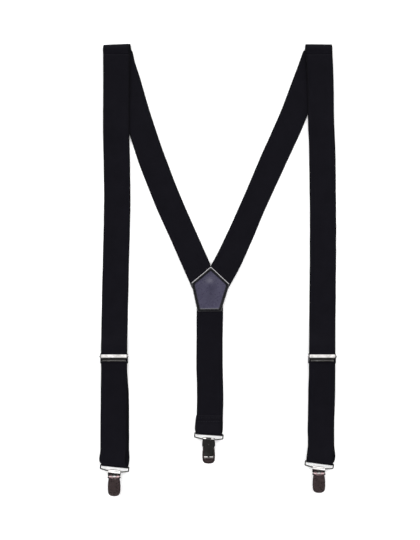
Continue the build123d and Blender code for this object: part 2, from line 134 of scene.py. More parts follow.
def make_light():
    """A room that is bright towards the head of the layout, dim overhead and paler low at both sides, so that
    flat metal, bends and edges each take a different tone, and two soft boxes that light the cloth."""
    world = bpy.data.worlds.new("studio")
    bpy.context.scene.world = world
    world.use_nodes = True
    tree = world.node_tree
    background = tree.nodes["Background"]
    background.inputs["Color"].default_value = (1, 1, 1, 1)
    direction = tree.nodes.new("ShaderNodeTexCoord").outputs["Generated"]
    parts = tree.nodes.new("ShaderNodeSeparateXYZ")
    tree.links.new(direction, parts.inputs[0])

    def span(value, ends, out_low, out_high):
        node = tree.nodes.new("ShaderNodeMapRange")
        node.interpolation_type = "SMOOTHSTEP"
        for index, number in enumerate((*ends, out_low, out_high), 1):
            node.inputs[index].default_value = number
        tree.links.new(value, node.inputs[0])
        return node.outputs[0]

    def joined(operation, first, second):
        node = tree.nodes.new("ShaderNodeMath")
        node.operation = operation
        tree.links.new(first, node.inputs[0])
        tree.links.new(second, node.inputs[1])
        return node.outputs[0]

    x, y = parts.outputs[0], parts.outputs[1]
    head = span(y, HEAD_SPAN, 0.0, HEAD_GLOW)
    foot = span(y, FOOT_SPAN, FOOT_GLOW, 0.0)
    sides = span(joined("MULTIPLY", x, x), SIDE_SPAN, DIM_GLOW, SIDE_GLOW)
    glow = joined("MAXIMUM", joined("MAXIMUM", head, foot), sides)
    tree.links.new(glow, background.inputs["Strength"])
    for side, sign in SIDES:
        soft_box(side, sign)
    bpy.context.scene.view_settings.view_transform = "Standard"


def make_floor():
    """A wide pale sheet just under the suspenders."""
    mesh = bpy.data.meshes.new("floor")
    half = FLOOR_HALF
    corners = [(-half, -half, 0), (half, -half, 0), (half, half, 0), (-half, half, 0)]
    mesh.from_pydata(corners, [], [(0, 1, 2, 3)])
    floor = add_object("floor", mesh)
    floor.location.z = -FLOOR_DROP
    material = bpy.data.materials.new("floor_white")
    material.use_nodes = True
    shader = material.node_tree.nodes["Principled BSDF"]
    shader.inputs["Base Color"].default_value = (0.93, 0.93, 0.93, 1)
    shader.inputs["Roughness"].default_value = 0.9
    shader.inputs["Emission Color"].default_value = (1, 1, 1, 1)
    shader.inputs["Emission Strength"].default_value = 0.2
    mesh.materials.append(material)


# ================================================================ node helpers

class Nodes:
    """A material's node tree, with short calls to add and join nodes."""

    def __init__(self, name):
        self.material = bpy.data.materials.new(name)
        self.material.use_nodes = True
        self.tree = self.material.node_tree
        self.shader = self.tree.nodes["Principled BSDF"]

    def put(self, socket, value):
        """Joins a socket to the one given, or sets its value."""
        if isinstance(value, bpy.types.NodeSocket):
            self.tree.links.new(value, socket)
        else:
            socket.default_value = value

    def add(self, kind, inputs=None, **settings):
        """A node with its settings made and its inputs set or joined."""
        node = self.tree.nodes.new(kind)
        for key, value in settings.items():
            setattr(node, key, value)
        for key, value in (inputs or {}).items():
            self.put(node.inputs[key], value)
        return node

    def math(self, operation, *values):
        """A maths node's result."""
        inputs = dict(enumerate(values))
        return self.add("ShaderNodeMath", inputs, operation=operation).outputs[0]

    def mix(self, factor, first, second):
        """A blend of two colours."""
        node = self.add("ShaderNodeMix", {0: factor, 6: first, 7: second}, data_type="RGBA")
        return node.outputs[2]

    def attribute(self, name, output="Vector"):
        """A named attribute of the mesh, as a vector, or as a number with "Fac"."""
        return self.add("ShaderNodeAttribute", attribute_name=name).outputs[output]

    def noise(self, vector, scale, detail, roughness):
        """Noise from 0 to 1."""
        inputs = {"Vector": vector, "Scale": scale, "Detail": detail, "Roughness": roughness}
        return self.add("ShaderNodeTexNoise", inputs).outputs["Fac"]

    def ramp(self, value, low, high, out_low=0.0, out_high=1.0):
        """A value mapped from one range to another, held at its ends."""
        inputs = {"Value": value, 1: low, 2: high, 3: out_low, 4: out_high}
        return self.add("ShaderNodeMapRange", inputs).outputs[0]

    def bump(self, height, distance, strength=1.0):
        """A bumped normal."""
        inputs = {"Height": height, "Distance": distance, "Strength": strength}
        return self.add("ShaderNodeBump", inputs).outputs[0]

    def set(self, **values):
        """Sets or joins the shader's sockets; a name's underscores stand for spaces."""
        for key, value in values.items():
            self.put(self.shader.inputs[key.replace("_", " ")], value)


# ================================================================ materials

# in metres: the pitch of the webbing's ribs and weft, and where its firm edge starts and ends
RIB_PITCH = 0.0011
WEFT_PITCH = 0.0008
EDGE_START, EDGE_END = 0.0158, 0.0170


def webbing_material():
    """Near-black ribbed webbing: fine ribs along the strap, a close weft across them, and firm edges."""
    n = Nodes("webbing")
    cloth = n.attribute("web")
    web = n.add("ShaderNodeSeparateXYZ", {0: cloth})
    along, across = web.outputs[0], web.outputs[1]
    rib = n.math("SINE", n.math("MULTIPLY", across, 2 * pi / RIB_PITCH))
    weft = n.math("SINE", n.math("MULTIPLY", along, 2 * pi / WEFT_PITCH))
    alternate = n.math("MULTIPLY", weft, n.math("SIGN", rib))
    height = n.math("ADD", n.math("MULTIPLY", rib, 0.5), n.math("MULTIPLY", alternate, 0.3))
    patchy = n.noise(cloth, 45.0, 4.0, 0.6)
    fuzz = n.noise(cloth, 2600.0, 2.0, 0.6)
    edge = n.ramp(n.math("ABSOLUTE", across), EDGE_START, EDGE_END)
    # partly painted highlight: the raised crests of rib and weft are lightened; the fuzz below adds random tone
    raised = n.math("MULTIPLY", n.ramp(height, -0.8, 0.8), 0.6)
    tone = n.math("ADD", raised, n.math("MULTIPLY", fuzz, 0.4))
    faded = n.math("MULTIPLY", n.ramp(patchy, 0.35, 0.7), 0.3)
    colour = n.mix(tone, (0.0012, 0.0011, 0.0020, 1), (0.0052, 0.0047, 0.0078, 1))
    colour = n.mix(faded, colour, (0.0060, 0.0055, 0.0088, 1))
    colour = n.mix(n.math("MULTIPLY", edge, 0.7), colour, (0.0010, 0.0009, 0.0014, 1))
    n.set(Base_Color=colour, Roughness=n.ramp(fuzz, 0.3, 0.7, 0.68, 0.86))
    n.set(Normal=n.bump(height, 0.00012, 0.8), Specular_IOR_Level=0.08)
    n.set(Sheen_Weight=0.03, Sheen_Roughness=0.5, Sheen_Tint=(0.8, 0.8, 0.9, 1))
    return n.material


def thread_material():
    """Dark polyester thread with a twist."""
    n = Nodes("thread")
    place = n.add("ShaderNodeTexCoord").outputs["Object"]
    twist = n.add("ShaderNodeTexWave", {"Vector": place, "Scale": 900.0, "Distortion": 1.5},
                  bands_direction="DIAGONAL").outputs["Fac"]
    # painted highlight: the twist's raised bands are lighter and its grooves darker
    n.set(Base_Color=n.mix(twist, (0.005, 0.005, 0.007, 1), (0.016, 0.016, 0.021, 1)))
    n.set(Roughness=n.ramp(twist, 0, 1, 0.5, 0.7))
    n.set(Normal=n.bump(twist, 0.00004), Specular_IOR_Level=0.2)
    return n.material


def leather_material():
    """Dark smooth leather with a fine grain: a blue-grey pressed panel, a black border round it, and a raw cut
    edge with a painted highlight, pale where it faces the bright head of the layout."""
    n = Nodes("patch_leather")
    panel = n.attribute("panel", "Fac")
    edge_highlight = n.attribute("edge_highlight", "Fac")
    place = n.add("ShaderNodeTexCoord").outputs["Object"]
    cells = n.add("ShaderNodeTexVoronoi", {"Vector": place, "Scale": 1500.0, "Randomness": 1.0},
                  feature="DISTANCE_TO_EDGE")
    creases = n.ramp(cells.outputs["Distance"], 0.0, 0.12)
    pores = n.noise(place, 3800.0, 2.0, 0.6)
    clouds = n.noise(place, 70.0, 4.0, 0.55)
    smudges = n.noise(place, 240.0, 3.0, 0.6)
    tone = n.ramp(clouds, 0.32, 0.68)
    inner = n.mix(tone, (0.042, 0.039, 0.066, 1), (0.060, 0.056, 0.092, 1))
    outer = n.mix(tone, (0.0030, 0.0030, 0.0040, 1), (0.0070, 0.0068, 0.0090, 1))
    colour = n.mix(n.ramp(panel, 0.0, 1.0), outer, inner)
    # painted highlight: the raw edge is lightened where it faces the bright head of the room
    edge = n.mix(edge_highlight, (0.035, 0.034, 0.038, 1), (0.34, 0.33, 0.345, 1))
    colour = n.mix(n.ramp(panel, -1.0, -0.4, 1.0, 0.0), colour, edge)
    # painted shade: the colour darkens in the grain's creases
    between = n.math("MULTIPLY", n.math("SUBTRACT", 1.0, creases), 0.15)
    colour = n.mix(between, colour, (0.004, 0.004, 0.006, 1))
    height = n.math("ADD", n.math("MULTIPLY", creases, 0.8), n.math("MULTIPLY", pores, 0.35))
    n.set(Base_Color=colour, Roughness=n.ramp(smudges, 0.3, 0.7, 0.24, 0.34), Specular_IOR_Level=0.7)
    n.set(Normal=n.bump(height, 0.00003, 0.16), Coat_Weight=0.5, Coat_Roughness=0.14)
    return n.material


# how far painted shade reaches out from a corner in the metal, in metres
CORNER_SHADE_REACH = 0.0025


def metal_material(name, light, dark, smooth, rough):
    """Plated metal: slight colour drift, smudged roughness, fine scratches two ways, and painted shade in
    corners and inside a beaded border."""
    n = Nodes(name)
    place = n.add("ShaderNodeTexCoord").outputs["Object"]

    def scratches(scale, turn, detail, low, high):
        line = {"Vector": place, "Scale": scale, "Rotation": (0, 0, turn)}
        stretched = n.add("ShaderNodeMapping", line).outputs[0]
        return n.ramp(n.noise(stretched, 1.0, detail, 0.7), low, high)

    clouds = n.noise(place, 110.0, 3.0, 0.5)
    smudges = n.noise(place, 420.0, 4.0, 0.6)
    marks = n.math("MAXIMUM", scratches((60.0, 1400.0, 60.0), 0.35, 5.0, 0.66, 0.74),
                   scratches((1900.0, 90.0, 90.0), -0.5, 4.0, 0.68, 0.76))
    corner_shade = n.add("ShaderNodeAmbientOcclusion", {"Distance": CORNER_SHADE_REACH}, samples=6).outputs["AO"]
    shade = tuple(c * 0.12 for c in dark) + (1,)
    colour = n.mix(n.ramp(clouds, 0.3, 0.7), (*dark, 1), (*light, 1))
    # painted shade: the colour darkens towards a dark copy where ambient occlusion finds nearby surfaces
    colour = n.mix(n.ramp(corner_shade, 0.3, 0.72, 0.93, 0.0), colour, shade)
    # painted shade along a lever's beaded border, from its rim attribute
    colour = n.mix(n.math("MULTIPLY", n.attribute("rim", "Fac"), 0.8), colour, shade)
    polish = n.math("ADD", n.ramp(smudges, 0.35, 0.65, smooth, rough), n.math("MULTIPLY", marks, 0.10))
    height = n.math("ADD", smudges, n.math("MULTIPLY", marks, -0.5))
    n.set(Base_Color=colour, Metallic=1.0, Roughness=polish, Normal=n.bump(height, 0.000012, 0.5))
    return n.material


def rubber_material():
    """Matte moulded rubber with a slight bloom."""
    n = Nodes("grip_pad")
    place = n.add("ShaderNodeTexCoord").outputs["Object"]
    grain = n.noise(place, 2200.0, 3.0, 0.6)
    bloom = n.ramp(n.noise(place, 260.0, 3.0, 0.5), 0.35, 0.7)
    n.set(Base_Color=n.mix(bloom, (0.012, 0.012, 0.012, 1), (0.035, 0.034, 0.033, 1)))
    n.set(Roughness=n.ramp(grain, 0.3, 0.7, 0.6, 0.85), Normal=n.bump(grain, 0.00004, 0.6))
    return n.material


# ================================================================ mesh helpers

def new_object(name, vertices, faces):
    """A smooth mesh object made of vertices in millimetres."""
    mesh = bpy.data.meshes.new(name)
    mesh.from_pydata([Vector(v) * MM for v in vertices], [], faces)
    mesh.validate()
    work = bmesh.new()
    work.from_mesh(mesh)
    bmesh.ops.recalc_face_normals(work, faces=work.faces[:])
    work.to_mesh(mesh)
    work.free()
    mesh.polygons.foreach_set("use_smooth", [True] * len(mesh.polygons))
    return add_object(name, mesh)


def loft_sides(loops):
    """Vertices and side faces through loops of (x, y, z) points, all of one count."""
    count = len(loops[0])
    vertices = [tuple(v) for loop in loops for v in loop]
    faces = []
    for row in range(len(loops) - 1):
        for i in range(count):
            a, b = row * count + i, row * count + (i + 1) % count
            faces.append((a, b, b + count, a + count))
    return vertices, faces


def loop_part(loops):
    """Vertices and faces of a closed solid through loops of points, with flat ends."""
    vertices, faces = loft_sides(loops)
    count = len(loops[0])
    last = (len(loops) - 1) * count
    faces.append(tuple(reversed(range(count))))
    faces.append(tuple(last + i for i in range(count)))
    return vertices, faces


def lofted(name, loops):
    """A closed solid through loops of points, with a point at the middle of each end."""
    vertices, faces = loft_sides(loops)
    count = len(loops[0])
    for loop, flip in ((0, True), (len(loops) - 1, False)):
        middle = sum((Vector(v) for v in loops[loop]), Vector((0, 0, 0))) / count
        vertices.append(tuple(middle))
        for i in range(count):
            j = (i + 1) % count
            face = (loop * count + i, loop * count + j, len(vertices) - 1)
            faces.append(tuple(reversed(face)) if flip else face)
    return new_object(name, vertices, faces)


def join_meshes(name, parts):
    """One object from several closed parts, each a pair of vertices and faces."""
    vertices, faces = [], []
    for part_vertices, part_faces in parts:
        first = len(vertices)
        vertices += part_vertices
        faces += [tuple(first + i for i in face) for face in part_faces]
    return new_object(name, vertices, faces)


# ================================================================ straps

def spline(controls, step):
    """Points along a smooth curve through the controls, about a step apart. A control is a tuple of numbers."""
    points = []
    for index in range(len(controls) - 1):
        b, c = controls[index], controls[index + 1]
        a = controls[index - 1] if index else tuple(2 * p - q for p, q in zip(b, c))
        last = index + 2 >= len(controls)
        d = tuple(2 * q - p for p, q in zip(b, c)) if last else controls[index + 2]
        before = max(Vector(b[:3]) - Vector(a[:3]), Vector((0, 0, 0.001)), key=lambda v: v.length).length
        span = max((Vector(c[:3]) - Vector(b[:3])).length, 0.001)
        after = max((Vector(d[:3]) - Vector(c[:3])).length, 0.001)
        count = max(2, ceil(span / step))
        for i in range(count):
            t = i / count
            point = []
            for pa, pb, pc, pd in zip(a, b, c, d):
                slope_b = span * ((pb - pa) / before * span + (pc - pb) / span * before) / (before + span)
                slope_c = span * ((pc - pb) / span * after + (pd - pc) / after * span) / (span + after)
                h00 = 2 * t ** 3 - 3 * t ** 2 + 1
                h10 = t ** 3 - 2 * t ** 2 + t
                h01 = 3 * t ** 2 - 2 * t ** 3
                h11 = t ** 3 - t ** 2
                point.append(h00 * pb + h10 * slope_b + h01 * pc + h11 * slope_c)
            points.append(tuple(point))
    points.append(tuple(controls[-1]))
    return points


# half of the webbing's section: share of the half width, share of the half thickness
SECTION = [
    (0.0, 1.0), (0.2, 1.0), (0.4, 1.0), (0.58, 1.0), (0.74, 1.0), (0.85, 1.0), (0.90, 0.97),
    (0.925, 0.84), (0.95, 0.9), (0.975, 0.88), (0.992, 0.62), (1.0, 0.22),
]
# how far a strap's edge wanders, and how many rows its lift takes to fade in and out at its ends
EDGE_WANDER = 0.22
LIFT_FADE = 16


def ribbon(name, controls, start=0.0, seed=0.0, loose=0.0):
    """Webbing along (x, y, z, turn, width) controls in millimetres: z is the middle of its thickness, and turn
    is the angle of its width from +X, in degrees. Its mesh carries how far along and across each point is."""
    rows = spline(controls, ROW_STEP)
    upper = [(-u, h) for u, h in reversed(SECTION)] + SECTION[1:]
    section = upper + [(u, -h) for u, h in reversed(upper)]
    vertices, places = [], []
    length = start
    previous = None
    for index, (x, y, z, turn, width) in enumerate(rows):
        centre = Vector((x, y, z))
        if previous is not None:
            length += (centre - previous).length
        previous = centre
        ahead = Vector(rows[min(index + 1, len(rows) - 1)][:3])
        behind = Vector(rows[max(index - 1, 0)][:3])
        side = Vector((cos(radians(turn)), sin(radians(turn)), 0))
        normal = side.cross((ahead - behind).normalized()).normalized()
        for u, h in section:
            wander = noise.noise(Vector((length / 24.0, seed + (3 if u > 0 else 7), 0.5)))
            across = u * (width / 2 + EDGE_WANDER * wander * abs(u) ** 4)
            fade = min(1.0, index / LIFT_FADE, (len(rows) - 1 - index) / LIFT_FADE)
            lift = fade * loose * (0.5 + noise.noise(Vector((length / 30.0, u * 0.7, seed))))
            raised = Vector((0, 0, max(lift, 0)))
            vertices.append(centre + side * across + normal * (h * HALF) + raised)
            places.append((length * MM, across * MM, h))
    for spot in vertices:
        spot.z = max(spot.z, 0.0)
    count = len(section)
    faces = [tuple(range(count))]
    for row in range(len(rows) - 1):
        for i in range(count):
            a, b = row * count + i, row * count + (i + 1) % count
            faces.append((b, a, a + count, b + count))
    last = (len(rows) - 1) * count
    faces.append(tuple(last + i for i in reversed(range(count))))
    thing = new_object(name, vertices, faces)
    attribute = thing.data.attributes.new("web", "FLOAT_VECTOR", "POINT")
    attribute.data.foreach_set("vector", [c for place in places for c in place])
    thing.data.materials.append(WEBBING)
    return thing, length


def trim(thing, point, normal):
    """Cuts a piece at a plane and keeps the side that the normal points away from."""
    work = bmesh.new()
    work.from_mesh(thing.data)
    everything = work.verts[:] + work.edges[:] + work.faces[:]
    cut = bmesh.ops.bisect_plane(
        work, geom=everything, plane_co=Vector(point) * MM, plane_no=Vector(normal), clear_outer=True)
    edges = [e for e in cut["geom_cut"] if isinstance(e, bmesh.types.BMEdge)]
    bmesh.ops.holes_fill(work, edges=edges)
    work.to_mesh(thing.data)
    work.free()


def flat_run(points, turns):
    """Ribbon controls for webbing that lies flat: square to its line, but for the turns stated by index."""
    controls = []
    stated = dict(turns)
    for index, (x, y, z) in enumerate(points):
        x0, y0, _ = points[max(index - 1, 0)]
        x1, y1, _ = points[min(index + 1, len(points) - 1)]
        down = -1 if y1 < y0 else 1
        turn = stated.get(index, degrees(atan2(-(x1 - x0) * down, (y1 - y0) * down)))
        controls.append((x, y, z, turn, WEB_WIDTH))
    return controls


# ================================================================ back straps and shoulder folds

# the line of the folds at the shoulders, where each strap's back run ends and its front run starts
FOLD_Y = 301.3
FOLD_Z = 2.6
FOLD_SPLIT_Y = 290.0
FOLD_TILT = {"left": 2.4, "right": -0.6}
LEATHER = 1.3
UNDER_PATCH = LEATHER + HALF
# the patch's corners, anticlockwise from its point
PATCH = {
    "point": (-9.7, 5), "left": (-36.0, -17.2), "low_left": (-27.6, -55.7), "low_right": (4.3, -55.3),
    "right": (15.6, -18.6),
}
# under the patch the back straps meet at this X, and end at this Y
PATCH_X = -10.3
STRAP_END_Y = -29.5

BACK_RUN = {
    "left": [
        (-8, -42, UNDER_PATCH), (-20, -14, UNDER_PATCH), (-31, 11, 1.7), (-44.1, 40.8, HALF),
        (-67.8, 94.6, HALF), (-88.7, 148.5, HALF), (-106.6, 202, HALF), (-122.6, 256, HALF),
        (-129.4, 278, HALF), (-132.0, FOLD_SPLIT_Y, HALF),
    ],
    "right": [
        (-14, -42, UNDER_PATCH), (-0.6, -14, UNDER_PATCH), (13.6, 12, 1.7), (27.1, 40.8, HALF),
        (50.7, 94.6, HALF), (74.6, 148.5, HALF), (98.6, 202, HALF), (119.3, 256, HALF),
        (127.6, 278, HALF), (131.6, FOLD_SPLIT_Y, HALF),
    ],
}
# the fold's rows after the split: distance past the fold line, height
FOLD_ARC = [(-4.0, HALF), (0.0, HALF), (1.45, 1.2), (2.0, FOLD_Z), (1.45, 4.0), (0.0, 4.6)]
FOLD_BACK_X = {"left": -134.6, "right": 134.6}
FOLD_FRONT_X = {"left": -136.6, "right": 135.6}
BACK_TOP_TURN = {"left": 9.5, "right": -14.0}
# where a back strap lies a little curled or stretched: index in its run, width
BACK_WIDTH = {"left": [(4, 36.0), (5, 36.2)], "right": [(3, 34.6), (4, 33.4), (5, 35.0)]}

FRONT_RUN = {
    "left": [
        (-136.6, FOLD_SPLIT_Y, 4.3), (-136.7, 268, 3.3), (-136.8, 240, 2.4), (-136.9, 190, 2.3),
        (-136.5, 158, 1.0), (-136.0, 130, HALF), (-135.7, 94, HALF), (-137, 27, HALF), (-138.4, -30, HALF),
        (-139.0, -64, HALF), (-139.3, -86, 2.0), (-139.5, -102, 4.2), (-139.6, -115.3, 4.5),
    ],
    "right": [
        (136.0, FOLD_SPLIT_Y, 4.3), (137.3, 268, 3.3), (138.0, 240, 2.4), (138.6, 196, 2.3),
        (140.0, 166, 1.0), (140.6, 138, HALF), (141.1, 94, HALF), (141.3, 27, HALF), (140.8, -30, HALF),
        (140.4, -64, HALF), (140.1, -86, 2.0), (139.9, -102, 4.2), (139.8, -115.3, 4.5),
    ],
}


def back_straps():
    """The two straps from the patch up to the shoulders, and the fold at the top of each."""
    lengths = {}
    for side, sign in SIDES:
        run = BACK_RUN[side]
        controls = flat_run(run, turns=[(len(run) - 1, BACK_TOP_TURN[side])])
        for index, width in BACK_WIDTH[side]:
            controls[index] = (*controls[index][:4], width)
        name = "back_strap_" + side
        thing, length = ribbon(name, controls, seed=1.0 + sign, loose=0.25)
        trim(thing, (PATCH_X + 0.05 * sign, 0, 0), (-sign, 0, 0))
        trim(thing, (0, STRAP_END_Y, 0), (0, -1, 0))
        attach(thing, "back")
        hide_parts(name)
        # about 20 mm at the run's start is cut away by the trims
        lengths[side] = length
        turn = FOLD_TILT[side]
        rows = [(*run[-1], BACK_TOP_TURN[side], WEB_WIDTH)]
        for index, (past, height) in enumerate(FOLD_ARC):
            share = index / (len(FOLD_ARC) - 1)
            x = FOLD_BACK_X[side] * (1 - share) + FOLD_FRONT_X[side] * share
            rows.append((x, FOLD_Y + past, height, turn, WEB_WIDTH))
        rows.append((*FRONT_RUN[side][0], 0.0, WEB_WIDTH))
        fold, end = ribbon("shoulder_fold_" + side, rows, start=length, seed=1.0 + sign)
        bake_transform(fold)
        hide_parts("shoulder_fold_" + side)
        lengths[side] = end
    return lengths


def front_straps(lengths):
    """Each front strap's upper run, from the fold to the adjuster."""
    for side, sign in SIDES:
        run = FRONT_RUN[side]
        controls = flat_run(run, turns=[(0, 0.0)])
        thing, length = ribbon("front_strap_" + side, controls, start=lengths[side], seed=1.0 + sign, loose=0.2)
        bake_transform(thing)
        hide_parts("front_strap_" + side)
        lengths[side] = length


# ================================================================ lower straps and centre strap

# the loops' bars, and the webbing's turn round them: radius to the middle of its thickness, width
BAR_Z = 2.9
TURN_MIDDLE = 1.7
TURN_WIDTH = 36.0
# the webbing's width round the adjuster's rail, and at its sewn end
RAIL_WIDTH = 35.0
ADJUSTER_Y = -115.5
ADJUSTER_X = {"left": -139.6, "right": 139.8}
# the middle of each loop's bar, and the bar's angle from +X
LOOP_PLACE = {"left": (-138.7, -262.4), "right": (136.4, -258.0), "centre": (-12.1, -219.4)}
LOOP_TILT = {"left": -6.0, "right": -7.5, "centre": -4.0}
# the webbing's middle on its way down the front, at the bar, and back up behind
LOWER_FRONT_X = {"left": (-139.6, -139.9, -140.4), "right": (139.8, 139.6, 138.2)}
NEAR_FRONT_X = {"left": -140.6, "right": 136.2}
NEAR_BACK_X = {"left": -137.8, "right": 138.4}
LOWER_BACK_X = {"left": (-137.4, -137.9, -139.6), "right": (138.6, 139.2, 139.8)}
# the sewn end: distance below the adjuster, height, from where it comes up behind the rail
RAIL_TURN = [
    (20, HALF), (6.8, HALF), (5.8, 1.1), (5.5, 1.8), (5.8, 2.5), (6.8, 3.0), (10.5, 3.0), (15.5, 1.9),
    (26, 1.9),
]


def turn_rows(place):
    """The rows of a strap's half turn round a loop's bar, from its front layer to its back layer."""
    x, y = LOOP_PLACE[place]
    tilt = LOOP_TILT[place]
    rows = []
    for angle in (90, 45, 0, -45, -90):
        drop = -TURN_MIDDLE * cos(radians(angle))
        rows.append((x, y + drop, BAR_Z + TURN_MIDDLE * sin(radians(angle)), tilt, TURN_WIDTH))
    return rows


def lower_straps(lengths):
    """The webbing below each adjuster: down, round the loop's bar, up behind and round the adjuster's rail."""
    for side, sign in SIDES:
        _, bar_y = LOOP_PLACE[side]
        front, back = LOWER_FRONT_X[side], LOWER_BACK_X[side]
        near_turn = LOOP_TILT[side] * 0.8
        rows = [
            (front[0], ADJUSTER_Y + 0.2, 4.5, 0, WEB_WIDTH),
            (front[0], ADJUSTER_Y - 10, 4.5, 0, WEB_WIDTH),
            (front[0], ADJUSTER_Y - 20, 4.0, 0, WEB_WIDTH),
            (front[1], ADJUSTER_Y - 36, 3.4, 0, WEB_WIDTH),
            (front[1], ADJUSTER_Y - 58, 2.6, 0, WEB_WIDTH),
            (front[2], bar_y + 45, 2.5, 0, WEB_WIDTH),
            (front[2], bar_y + 22, 3.0, 0, WEB_WIDTH),
            (NEAR_FRONT_X[side], bar_y + 2.3, 4.5, near_turn, WEB_WIDTH),
            *turn_rows(side),
            (NEAR_BACK_X[side], bar_y + 2.3, 1.25, near_turn, WEB_WIDTH),
            (back[0], bar_y + 24, HALF, 0, WEB_WIDTH),
            (back[0], bar_y + 46, HALF, 0, WEB_WIDTH),
            (back[1], ADJUSTER_Y - 48, HALF, 0, WEB_WIDTH),
            *((back[2], ADJUSTER_Y - below, height, 0, RAIL_WIDTH) for below, height in RAIL_TURN),
        ]
        thing, length = ribbon("lower_strap_" + side, rows, start=lengths[side], seed=1.0 + sign)
        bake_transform(thing)
        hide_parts("lower_strap_front_" + side, "lower_strap_back_" + side, "strap_turn_" + side,
                    "strap_end_" + side)


def centre_strap():
    """The webbing from the patch to the centre clip, turned round the loop's bar and sewn back on itself."""
    x, bar_y = LOOP_PLACE["centre"]
    near_turn = LOOP_TILT["centre"] * 0.8
    rows = [
        (-10.9, -30, UNDER_PATCH, 0, WEB_WIDTH),
        (-11.0, -56, 1.8, 0, WEB_WIDTH),
        (-11.3, -80, HALF, 0, WEB_WIDTH),
        (-11.3, -130, HALF, 0, WEB_WIDTH),
        (-10.5, -172, HALF, 0, WEB_WIDTH),
        (-11.0, bar_y + 24, HALF, 0, WEB_WIDTH),
        (x + 0.8, bar_y + 5, 1.1, near_turn, WEB_WIDTH),
        *reversed(turn_rows("centre")),
        (x - 1.2, bar_y + 4.5, 4.1, near_turn, WEB_WIDTH),
        (x - 0.9, bar_y + 13, 2.3, -1.5, WEB_WIDTH),
        (x + 0.3, bar_y + 24, 2.0, -0.5, WEB_WIDTH),
    ]
    thing, length = ribbon("back_strap_centre", rows, seed=14.0, loose=0.12)
    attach(thing, "back")
    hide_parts("back_strap_centre")


# ================================================================ patch

CORNER_STEPS = 6
SIDE_STEPS = 8


def rounded(corners, radius):
    """A polygon's outline with rounded corners, and evenly spaced points along each side."""
    points = []
    count = len(corners)
    for index, corner in enumerate(corners):
        corner = Vector(corner)
        before = Vector(corners[index - 1])
        after = Vector(corners[(index + 1) % count])
        into = (corner - before).normalized()
        away = (after - corner).normalized()
        start, end = corner - into * radius, corner + away * radius
        for step in range(CORNER_STEPS + 1):
            t = step / CORNER_STEPS
            points.append(start * (1 - t) ** 2 + corner * 2 * t * (1 - t) + end * t ** 2)
        finish = after - away * radius
        for step in range(1, SIDE_STEPS):
            points.append(end.lerp(finish, step / SIDE_STEPS))
    return points


def inset(corners, distance):
    """A convex anticlockwise polygon's corners, moved in by a distance."""
    count = len(corners)
    moved = []
    for index in range(count):
        a, b, c = (Vector(corners[(index + k) % count]) for k in (-1, 0, 1))
        first, second = (b - a).normalized(), (c - b).normalized()
        normal_1, normal_2 = Vector((-first.y, first.x)), Vector((-second.y, second.x))
        moved.append(tuple(b + (normal_1 + normal_2) * distance / (1 + normal_1.dot(normal_2))))
    return moved


# distance in from the patch's edge, height, and colour: 1 pressed panel, 0 border, -1 raw edge
PATCH_RINGS = [
    (6.0, 0.0, -1), (0.4, 0.0, -1), (0.0, 0.12, -1), (0.0, 0.35, -1), (0.15, 0.62, -1), (0.45, 0.95, -1),
    (0.75, 1.18, -1), (0.9, 1.24, 0), (1.3, 1.29, 0), (2.0, 1.3, 0), (2.8, 1.3, 0), (3.2, 1.29, 0),
    (3.6, 1.22, 0), (4.0, 1.13, 0.3), (4.5, 1.02, 1), (5.2, 0.97, 1),
]
# the panel inside them: each ring's share of the last one's size, and how far the panel's middle stands proud
PATCH_SCALES = [0.92, 0.84, 0.76, 0.68, 0.6, 0.52, 0.44, 0.36, 0.28, 0.2, 0.12, 0.05]
PATCH_DOME = 0.35
PATCH_CORNER_RADIUS = 1.6
# where the straps meet under the leather: x, y, spread and height of the swelling
SWELLING = (-11.2, -18.8, 4.4, 1.05)
# how far in from the edge the patch's seam runs, and how far its thread is sunk in the leather
SEAM_INSET = 2.3
SEAM_SINK = 0.08


def headward(ring):
    """How far each point of an anticlockwise ring faces the head of the layout, from 0 to 1."""
    shares = []
    for index, after in enumerate(ring[1:] + ring[:1]):
        along = (Vector(after[:2]) - Vector(ring[index - 1][:2])).normalized()
        shares.append(min(1.0, max(0.0, (-along.x - 0.3) / 0.2)))
    return shares


def swelling(spot):
    """The height of the bulge over the place where the straps meet."""
    x, y, spread, height = SWELLING
    return height * exp(-((spot.x - x) ** 2 + (spot.y - y) ** 2) / (2 * spread ** 2))


